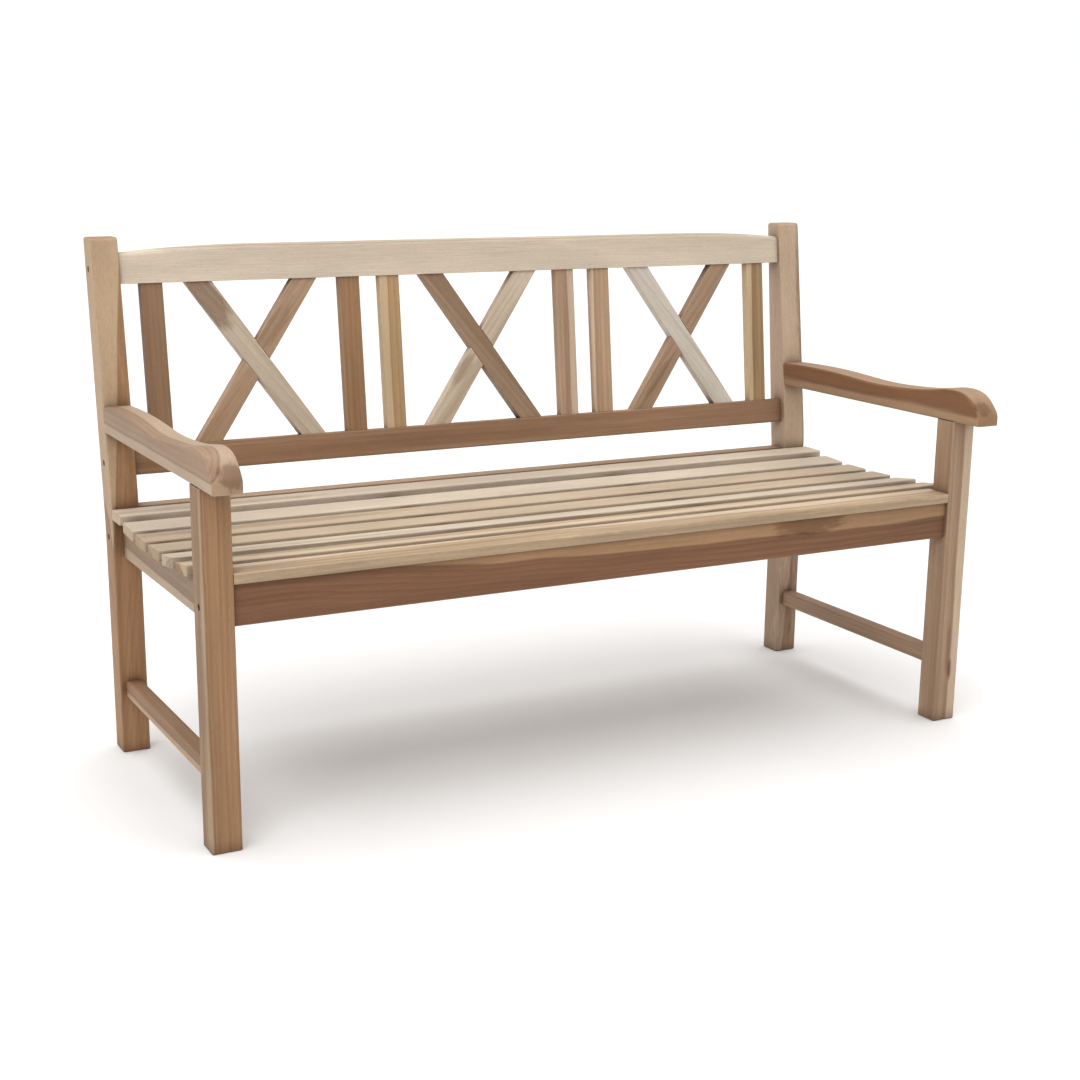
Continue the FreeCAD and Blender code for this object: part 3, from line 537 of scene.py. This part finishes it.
CROSSES = {
    "back_cross_front_left": ("bone", 0.94, (60, -80), 300, (((150, 0, 10), (80, 40, 20), 0.8),)),
    "back_cross_rear_left": ("rose", 0.92, (90, -80), 300, (((70, 10, 10), (70, 16, 20), 0.3),)),
    "back_cross_front_middle": ("dun", 0.94, (90, -80), 300, ()),
    "back_cross_rear_middle": ("bone", 1.04, (90, -80), 300, (((-60, 6, 10), (45, 14, 20), 0.45),)),
    "back_cross_front_right": ("ash", 1.18, (90, -80), 300, ()),
    "back_cross_rear_right": ("dun", 1.14, (90, -80), 300, (((-100, -6, 10), (60, 10, 20), 0.3),)),
}
for number, (name, (wood_name, lift, pith, sap_radius, brown)) in enumerate(CROSSES.items()):
    low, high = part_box(name)
    rise = (high.z - low.z) / math.cos(RAKE)
    run = (high.x - low.x) * (-1 if "front" in name else 1)
    slope = Vector(RAKE_UP) * rise + Vector((run, 0, 0))
    board_material(name, slope, RAKE_FRONT, wood_name, pith, sap_radius,
                   seed=60.0 + 1.91 * number, lift=lift, patches=brown)

# %% [markdown]
# ## Steel
# Bolts, barrel nuts and screws are plain stainless steel: metallic, fairly smooth, with fine
# turning marks and a little grime where they were handled. One grey colour would be enough from
# afar, but the two noises keep the heads from looking like plastic when seen close.

# %% Steel material
CLEAN_STEEL, GRIMY_STEEL = paint(190, 190, 186), paint(140, 136, 128)


def steel_material(name):
    material = bpy.data.materials.new(name)
    material.use_nodes = True
    tree = material.node_tree
    shader = tree.nodes["Principled BSDF"]
    place = tree.nodes.new("ShaderNodeTexCoord").outputs["Object"]
    marks = noise(tree, vectors(tree, "MULTIPLY", place, (900.0, 900.0, 900.0)), 3.0)
    grime = noise(tree, vectors(tree, "MULTIPLY", place, (160.0, 160.0, 160.0)), 2.0)
    tone = mixed(tree, smooth_step(tree, grime.outputs[0], 0.4, 0.7), CLEAN_STEEL, GRIMY_STEEL)
    tree.links.new(tone, shader.inputs["Base Color"])
    tree.links.new(smooth_step(tree, marks.outputs[0], 0.3, 0.7, 0.28, 0.46), shader.inputs["Roughness"])
    shader.inputs["Metallic"].default_value = 1.0
    return material


steel = steel_material("stainless_steel")
print("steel material:", len(steel.node_tree.nodes), "nodes")

# %% [markdown]
# ## Where the fasteners sit
# The CAD model keeps each kind of fastener in one node, as plain turned shapes. The ones made here
# have real driving recesses, so each needs the place of the one it stands for. A node's mesh is
# loose triangles, so a copy is merged first, and then every shell that hangs together is one
# fastener: its box gives its middle and its two ends.

# %% Fastener places
def shells(node_name):
    """The lowest and highest corner of every separate shell of a CAD node."""
    bpy.ops.object.select_all(action="DESELECT")
    copy = bpy.data.objects.new("copy_of_" + node_name, nodes[node_name].data.copy())
    bpy.context.scene.collection.objects.link(copy)
    copy.select_set(True)
    bpy.context.view_layer.objects.active = copy
    bpy.ops.object.mode_set(mode="EDIT")
    bpy.ops.mesh.select_all(action="SELECT")
    bpy.ops.mesh.remove_doubles(threshold=1e-5)
    bpy.ops.mesh.separate(type="LOOSE")
    bpy.ops.object.mode_set(mode="OBJECT")
    found = []
    for shell in list(bpy.context.selected_objects):
        corners = [vertex.co for vertex in shell.data.vertices]
        found.append((Vector(tuple(min(c[i] for c in corners) for i in range(3))),
                      Vector(tuple(max(c[i] for c in corners) for i in range(3)))))
        bpy.data.meshes.remove(shell.data)
    found.sort(key=lambda corners: tuple(round(part, 4) for part in corners[0]))
    return found


bolt_shells, nut_shells, screw_shells = (shells(n) for n in ("frame_bolts", "barrel_nuts", "slat_screws"))
print(len(bolt_shells), "bolts,", len(nut_shells), "barrel nuts,", len(screw_shells), "screws")

# %% [markdown]
# ## Tools of the bench
# Three small helpers do what a hand does in the viewport: pick faces by a rule, take one shape out
# of another, and ease the sharp edges. A boolean with a cutter is the simplest way to a clean
# recess, and a bevel limited by angle eases its rim without touching the round sides.

# %% Modelling helpers
def pick_faces(piece, rule):
    """Selects, in edit mode, the faces whose normal and middle fit the rule."""
    bpy.ops.object.mode_set(mode="EDIT")
    bpy.ops.mesh.select_mode(type="FACE")
    bpy.ops.mesh.select_all(action="DESELECT")
    bpy.ops.object.mode_set(mode="OBJECT")
    for face in piece.data.polygons:
        face.select = rule(face.normal, face.center)
    bpy.ops.object.mode_set(mode="EDIT")


def turned_bar(name, sides, radius, bottom, top):
    """A bar standing on the middle of the bench, from bottom to top."""
    bpy.ops.object.select_all(action="DESELECT")
    bpy.ops.mesh.primitive_cylinder_add(vertices=sides, radius=radius, depth=top - bottom,
                                        location=(0, 0, (bottom + top) / 2))
    bpy.ops.object.transform_apply(location=True, rotation=True, scale=True)
    bpy.context.object.name = name
    return bpy.context.object


def take_out(piece, cutter):
    """Cuts one shape out of a piece and throws the cutter away."""
    cut = piece.modifiers.new("cut", "BOOLEAN")
    cut.operation, cut.solver, cut.object = "DIFFERENCE", "EXACT", cutter
    bpy.ops.object.select_all(action="DESELECT")
    bpy.context.view_layer.objects.active = piece
    piece.select_set(True)
    bpy.ops.object.modifier_apply(modifier="cut")
    bpy.data.meshes.remove(cutter.data)


def ease_edges(piece, width):
    """Bevels the sharp edges and shades the round sides smooth."""
    ease = piece.modifiers.new("ease", "BEVEL")
    ease.width, ease.segments, ease.limit_method = width, 2, "ANGLE"
    ease.angle_limit = math.radians(50)
    bpy.context.view_layer.objects.active = piece
    bpy.ops.object.modifier_apply(modifier="ease")
    bpy.ops.object.shade_smooth_by_angle(angle=math.radians(35))


def set_out(pattern, name, places):
    """One piece with a copy of the pattern at every place; the pattern itself is removed."""
    bpy.ops.object.select_all(action="DESELECT")
    for place in places:
        copy = bpy.data.objects.new(name, pattern.data.copy())
        copy.data.transform(place)
        bpy.context.scene.collection.objects.link(copy)
        copy.select_set(True)
        bpy.context.view_layer.objects.active = copy
    bpy.ops.object.join()
    piece = bpy.context.object
    piece.name = name
    piece.data.materials.clear()
    piece.data.materials.append(steel)
    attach(piece, "root")
    bpy.data.meshes.remove(pattern.data)
    print(name, "has", len(piece.data.polygons), "faces")
    return piece


# %% [markdown]
# ## Frame bolts
# A furniture bolt has a cylinder head with a six-sided socket. It is turned from one bar: the top
# of the shank is drawn out to the head's width, pulled up to its height, and the socket is cut with
# a six-sided bar. It is modelled standing up and then laid along the long rails, head outwards.

# %% Bolts
SHANK_R, HEAD_R, HEAD_H, SOCKET_R, SOCKET_D = 0.003, 0.005, 0.006, 0.0028, 0.0034
bolt_length = bolt_shells[0][1].x - bolt_shells[0][0].x
bolt = turned_bar("bolt_pattern", 40, SHANK_R, 0.0, bolt_length - HEAD_H)
pick_faces(bolt, lambda normal, centre: normal.z > 0.9)
bpy.ops.mesh.extrude_region_move(TRANSFORM_OT_translate={"value": (0, 0, 0)})
bpy.ops.transform.resize(value=(HEAD_R / SHANK_R, HEAD_R / SHANK_R, 1.0))
bpy.ops.mesh.extrude_region_move(TRANSFORM_OT_translate={"value": (0, 0, HEAD_H)})
bpy.ops.object.mode_set(mode="OBJECT")
take_out(bolt, turned_bar("hex_bar", 6, SOCKET_R, bolt_length - SOCKET_D, bolt_length + 0.002))
ease_edges(bolt, 0.0003)

bolt_places = []
for low, high in bolt_shells:
    middle = (low + high) / 2
    outward = 1 if middle.x > 0 else -1
    start = Vector((low.x if outward > 0 else high.x, middle.y, middle.z))
    bolt_places.append(Matrix.Translation(start) @ Matrix.Rotation(outward * math.pi / 2, 4, "Y"))
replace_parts(set_out(bolt, "socket_bolts", bolt_places), "frame_bolts")

# %% [markdown]
# ## Barrel nuts
# The bolt screws into a steel barrel that lies across the rail. It has a threaded cross hole and,
# on the end that shows in the back of the rail, a slot so that a screwdriver can turn the hole
# towards the bolt. The nuts in the back rails lean with the back.

# %% Barrel nuts
NUT_R, NUT_L = 0.005, 0.018
THREAD_ROOM = 0.00005
SLOT_WIDTH, SLOT_LENGTH, SLOT_HEIGHT = 0.0014, 0.012, 0.0044
nut = turned_bar("nut_pattern", 40, NUT_R, -NUT_L / 2, NUT_L / 2)
hole = turned_bar("hole_bar", 32, SHANK_R + THREAD_ROOM, -0.008, 0.008)
hole.data.transform(Matrix.Rotation(math.pi / 2, 4, "Y"))
take_out(nut, hole)
bpy.ops.object.select_all(action="DESELECT")
bpy.ops.mesh.primitive_cube_add(size=1.0, location=(0, 0, NUT_L / 2))
bpy.context.object.data.transform(Matrix.Diagonal((SLOT_WIDTH, SLOT_LENGTH, SLOT_HEIGHT, 1.0)))
bpy.ops.object.transform_apply(location=True, rotation=True, scale=True)
take_out(nut, bpy.context.object)
ease_edges(nut, 0.00025)

nut_places = []
for low, high in nut_shells:
    lean = RAKE if high.z - low.z > 2.1 * NUT_R else 0.0
    nut_places.append(Matrix.Translation((low + high) / 2) @ Matrix.Rotation(-math.pi / 2 - lean, 4, "X"))
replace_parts(set_out(nut, "slotted_barrel_nuts", nut_places), "barrel_nuts")

# %% [markdown]
# ## Slat screws
# The slats are screwed from below, so only the heads show, deep in their holes. Each has a domed
# head, made by easing its rim in several steps, and a cross recess cut with two thin blades.

# %% Screws
SCREW_R, SCREW_HEAD_R, SCREW_HEAD_H, SCREW_POINT = 0.002, 0.004, 0.003, 0.004
BLADE_THICK, BLADE_WIDE, BLADE_HIGH = 0.0009, 0.0046, 0.0036
screw_length = screw_shells[0][1].z - screw_shells[0][0].z
screw = turned_bar("screw_pattern", 32, SCREW_HEAD_R, 0.0, SCREW_HEAD_H)
pick_faces(screw, lambda normal, centre: normal.z > 0.9)
bpy.ops.mesh.extrude_region_move(TRANSFORM_OT_translate={"value": (0, 0, 0)})
bpy.ops.transform.resize(value=(SCREW_R / SCREW_HEAD_R, SCREW_R / SCREW_HEAD_R, 1.0))
screw_shank = screw_length - SCREW_HEAD_H - SCREW_POINT
bpy.ops.mesh.extrude_region_move(TRANSFORM_OT_translate={"value": (0, 0, screw_shank)})
bpy.ops.mesh.extrude_region_move(TRANSFORM_OT_translate={"value": (0, 0, SCREW_POINT)})
bpy.ops.transform.resize(value=(0.15, 0.15, 1.0))
pick_faces(screw, lambda normal, centre: normal.z < -0.9 and centre.z < 0.001)
bpy.ops.mesh.bevel(offset=0.0011, segments=4, affect="EDGES")
bpy.ops.object.mode_set(mode="OBJECT")
for blade in ((BLADE_THICK, BLADE_WIDE), (BLADE_WIDE, BLADE_THICK)):
    bpy.ops.object.select_all(action="DESELECT")
    bpy.ops.mesh.primitive_cube_add(size=1.0, location=(0, 0, 0))
    bpy.context.object.data.transform(Matrix.Diagonal((*blade, BLADE_HIGH, 1.0)))
    take_out(screw, bpy.context.object)
bpy.ops.object.shade_smooth_by_angle(angle=math.radians(35))

screw_places = []
for low, high in screw_shells:
    middle = (low + high) / 2
    screw_places.append(Matrix.Translation((middle.x, middle.y, low.z)))
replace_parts(set_out(screw, "cross_head_screws", screw_places), "slat_screws")

# %% [markdown]
# ## Floor
# The bench stands on a plain, pale, matt studio floor. A curved backdrop would do too, but it
# stands in the way when the bench is looked at from behind, so the floor is one wide disc that
# ends far beyond any view.

# %% Floor
FLOOR_RADIUS, FLOOR_GREY = 40.0, 0.80
bpy.ops.object.select_all(action="DESELECT")
bpy.ops.mesh.primitive_circle_add(vertices=96, radius=FLOOR_RADIUS, fill_type="NGON", location=(0, 0, 0))
floor = bpy.context.object
floor.name = "floor"
floor_material = bpy.data.materials.new("floor")
floor_material.use_nodes = True
floor_shader = floor_material.node_tree.nodes["Principled BSDF"]
floor_shader.inputs["Base Color"].default_value = (FLOOR_GREY, FLOOR_GREY, FLOOR_GREY, 1.0)
floor_shader.inputs["Roughness"].default_value = 0.9
floor_shader.inputs["Specular IOR Level"].default_value = 0.0
floor.data.materials.append(floor_material)
print("floor disc", FLOOR_RADIUS * 2, "m across")

# %% [markdown]
# ## Light
# The room is white low down, so the floor runs into it without a line, dim at the sides and bright
# overhead, like a studio with a ceiling of softboxes: the tops of the boards come out lighter than
# their fronts, and the gaps between the slats stay dark. One flat white would be simpler, but it
# would flatten the wood. A small key light from the front left gives the arms and the legs a
# lighter and a darker side.

# %% Light
ROOM_LOW, ROOM_SIDES, ROOM_CEILING = (1.02, 1.02, 1.02, 1.0), (0.35, 0.35, 0.36, 1.0), (2.5, 2.48, 2.45, 1.0)
world = bpy.data.worlds.new("studio")
world.use_nodes = True
sky = world.node_tree
upward = add(sky, "SeparateXYZ", sky.nodes.new("ShaderNodeTexCoord").outputs["Generated"]).outputs[2]
walls = mixed(sky, smooth_step(sky, upward, 0.08, 0.25), ROOM_LOW, ROOM_SIDES)
room = mixed(sky, smooth_step(sky, upward, 0.55, 0.85), walls, ROOM_CEILING)
sky.links.new(room, sky.nodes["Background"].inputs["Color"])
sky.nodes["Background"].inputs["Strength"].default_value = 1.0
bpy.context.scene.world = world
bpy.context.scene.view_settings.view_transform = "Standard"


def soft_light(name, place, target, size, power):
    data = bpy.data.lights.new(name, "AREA")
    data.shape = "SQUARE"
    data.size = size
    data.energy = power
    lamp = bpy.data.objects.new(name, data)
    bpy.context.scene.collection.objects.link(lamp)
    aim = Vector(target) - Vector(place)
    lamp.matrix_world = Matrix.Translation(place) @ aim.to_track_quat("-Z", "Y").to_matrix().to_4x4()
    print(name, "light,", size, "m wide,", round(aim.length, 2), "m from what it lights")


soft_light("key", (-2.6, -2.4, 3.0), (0, 0, 0.5), size=2.0, power=40.0)
